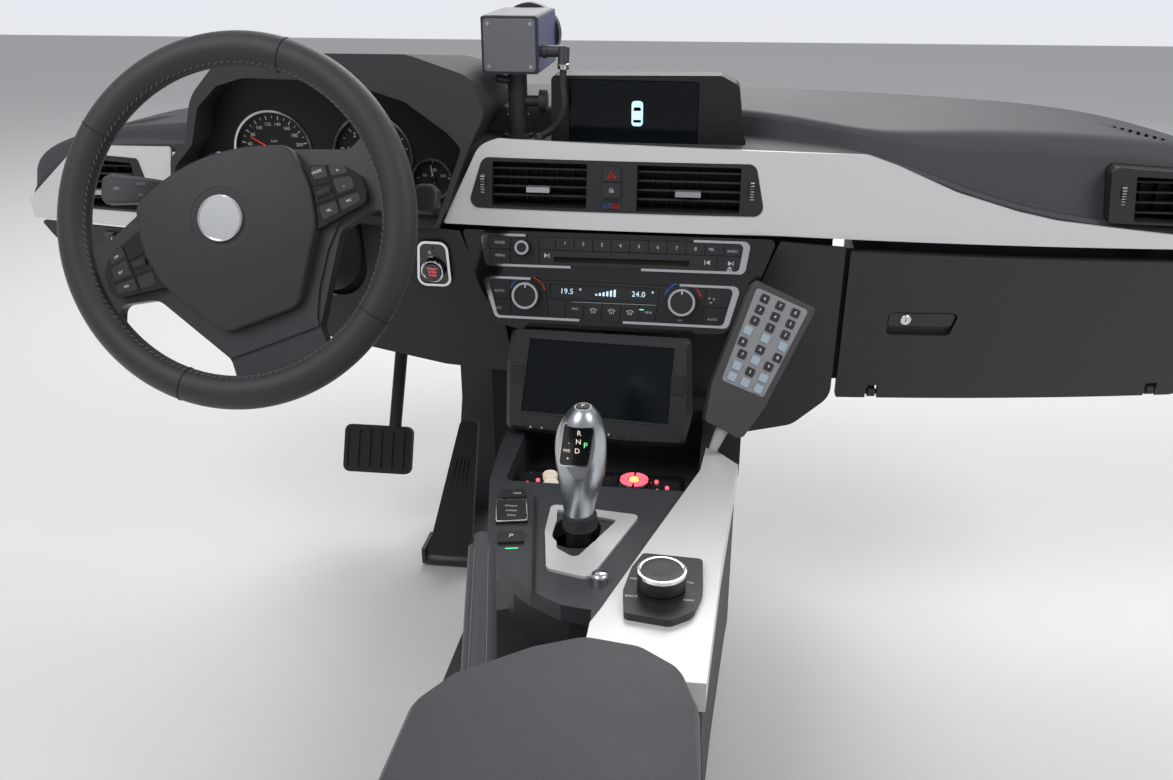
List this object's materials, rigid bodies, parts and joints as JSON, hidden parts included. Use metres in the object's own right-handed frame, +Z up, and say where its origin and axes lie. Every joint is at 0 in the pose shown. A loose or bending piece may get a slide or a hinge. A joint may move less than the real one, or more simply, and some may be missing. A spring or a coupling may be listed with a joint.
{
  "type": "car cockpit module",
  "caption": "Left-hand-drive car cockpit module with dashboard, steering wheel, centre console, pedals and fitted police monitor, keypad remote and camera.",
  "frame": {"origin": "centre of the forward face of the cross-car beam's bulkhead plate, on the car's centreline", "axes": "+X towards the passenger side, +Y forward in the car, +Z up"},
  "size_m": [1.522, 1.2105, 0.754],
  "materials": {
    "pad_soft": "grained soft skin",
    "hood_soft": "grained soft skin",
    "trim_silver": "satin silver lacquer",
    "vent_black": "fine matte",
    "tab_silver": "satin chrome",
    "gloss_black": "high gloss",
    "screen_black": "dark coated glass",
    "cluster_black": "fine matte",
    "ring_chrome": "bright",
    "key_plastic": "fine matte",
    "lower_dash": "grained",
    "beam_steel": "black coated",
    "duct_plastic": "moulded",
    "wheel_leather": "smooth grained",
    "spoke_plastic": "satin dark",
    "cover_plastic": "grained",
    "emblem_metal": "bare disc",
    "console_plastic": "fine matte",
    "selector_metal": "satin",
    "chrome_bright": "bright",
    "armrest_leather": "soft leatherette",
    "lever_leather": "stitched",
    "bracket_steel": "coated",
    "pedal_rubber": "ribbed",
    "monitor_plastic": "fine matte",
    "remote_plastic": "fine matte",
    "relief_grey": "soft",
    "camera_alloy": "anodised",
    "cable_black": "sheath"
  },
  "bodies": {
    "dash": {"cross_beam": "beam_steel", "upper_pad": "pad_soft", "cluster_hood": "hood_soft", "defroster_grilles": "vent_black", "trim_main": "trim_silver", "trim_left": "trim_silver", "vent_left": "vent_black", "vent_centre": "vent_black", "vent_right": "vent_black", "vent_tabs": "tab_silver", "hazard_block": "key_plastic", "display_housing": "cluster_black", "display_screen": "screen_black", "cluster_housing": "cluster_black", "cluster_rings": "ring_chrome", "bright_frames": "ring_chrome", "remote_keys": "key_plastic", "stack_fascia": "gloss_black", "radio_panel": "key_plastic", "climate_panel": "key_plastic", "knee_panel": "lower_dash", "dash_switches": "gloss_black", "filler_panel": "lower_dash", "hvac_block": "duct_plastic", "glovebox_bin": "duct_plastic", "steering_column": "bracket_steel", "column_shroud": "lower_dash", "stalks": "key_plastic", "console_body": "lower_dash", "selector_panel": "console_plastic", "gate_frame": "trim_silver", "console_trim": "trim_silver", "controller": "key_plastic", "console_switches": "key_plastic", "chrome_button": "chrome_bright", "button_panel": "gloss_black", "armrest_box": "lower_dash", "handbrake_boot": "lever_leather", "handbrake_bracket": "bracket_steel", "pedal_bracket": "bracket_steel", "monitor": "monitor_plastic", "monitor_bracket": "bracket_steel", "keypad_remote": "remote_plastic", "remote_holder": "bracket_steel", "remote_relief": "relief_grey", "camera_head": "camera_alloy", "camera_post": "bracket_steel", "camera_cable": "cable_black"},
    "steering_wheel": {"wheel_rim": "wheel_leather", "wheel_spokes": "spoke_plastic", "airbag_cover": "cover_plastic", "wheel_emblem": "emblem_metal", "wheel_switches": "gloss_black"},
    "glovebox_door": {"glovebox_lid": "lower_dash", "glovebox_handle": "key_plastic"},
    "armrest_cover": {"armrest_lid": "armrest_leather"},
    "handbrake": {"handbrake_lever": "lever_leather"},
    "brake": {"brake_pedal": "pedal_rubber"},
    "accelerator": {"accelerator_pedal": "pedal_rubber"},
    "selector": {"gear_selector": "selector_metal"}
  },
  "joints": [
    {"name": "wheel_turn", "type": "hinge", "parent": "dash", "child": "steering_wheel", "pos_m": [-0.364, -0.48, 0.0465], "axis": [0, -0.933, 0.36], "range_deg": [-562, 518]},
    {"name": "glovebox_hinge", "type": "hinge", "parent": "dash", "child": "glovebox_door", "pos_m": [0.465, -0.22977, -0.199], "axis": [0.9894, 0.1455, 0], "range_deg": [0, 50]},
    {"name": "armrest_hinge", "type": "hinge", "parent": "dash", "child": "armrest_cover", "pos_m": [0.025, -1.138, -0.173], "axis": [1, 0, 0], "range_deg": [0, 75]},
    {"name": "handbrake_hinge", "type": "hinge", "parent": "dash", "child": "handbrake", "pos_m": [-0.042, -0.88, -0.286], "axis": [0.9865, 0.1635, 0], "range_deg": [-24, 3]},
    {"name": "brake_hinge", "type": "hinge", "parent": "dash", "child": "brake", "pos_m": [-0.335, -0.06, -0.215], "axis": [1, 0, 0], "range_deg": [0, 16], "stiffness_Nm_per_rad": 14, "springref_deg": -17.19},
    {"name": "accelerator_hinge", "type": "hinge", "parent": "dash", "child": "accelerator", "pos_m": [-0.25, -0.19, -0.51], "axis": [-1, 0, 0], "range_deg": [0, 12], "stiffness_Nm_per_rad": 8, "springref_deg": -20.05},
    {"name": "selector_hinge", "type": "hinge", "parent": "dash", "child": "selector", "pos_m": [-0.006, -0.593, -0.255], "axis": [1, 0, 0], "range_deg": [-8, 8], "stiffness_Nm_per_rad": 12}
  ]
}
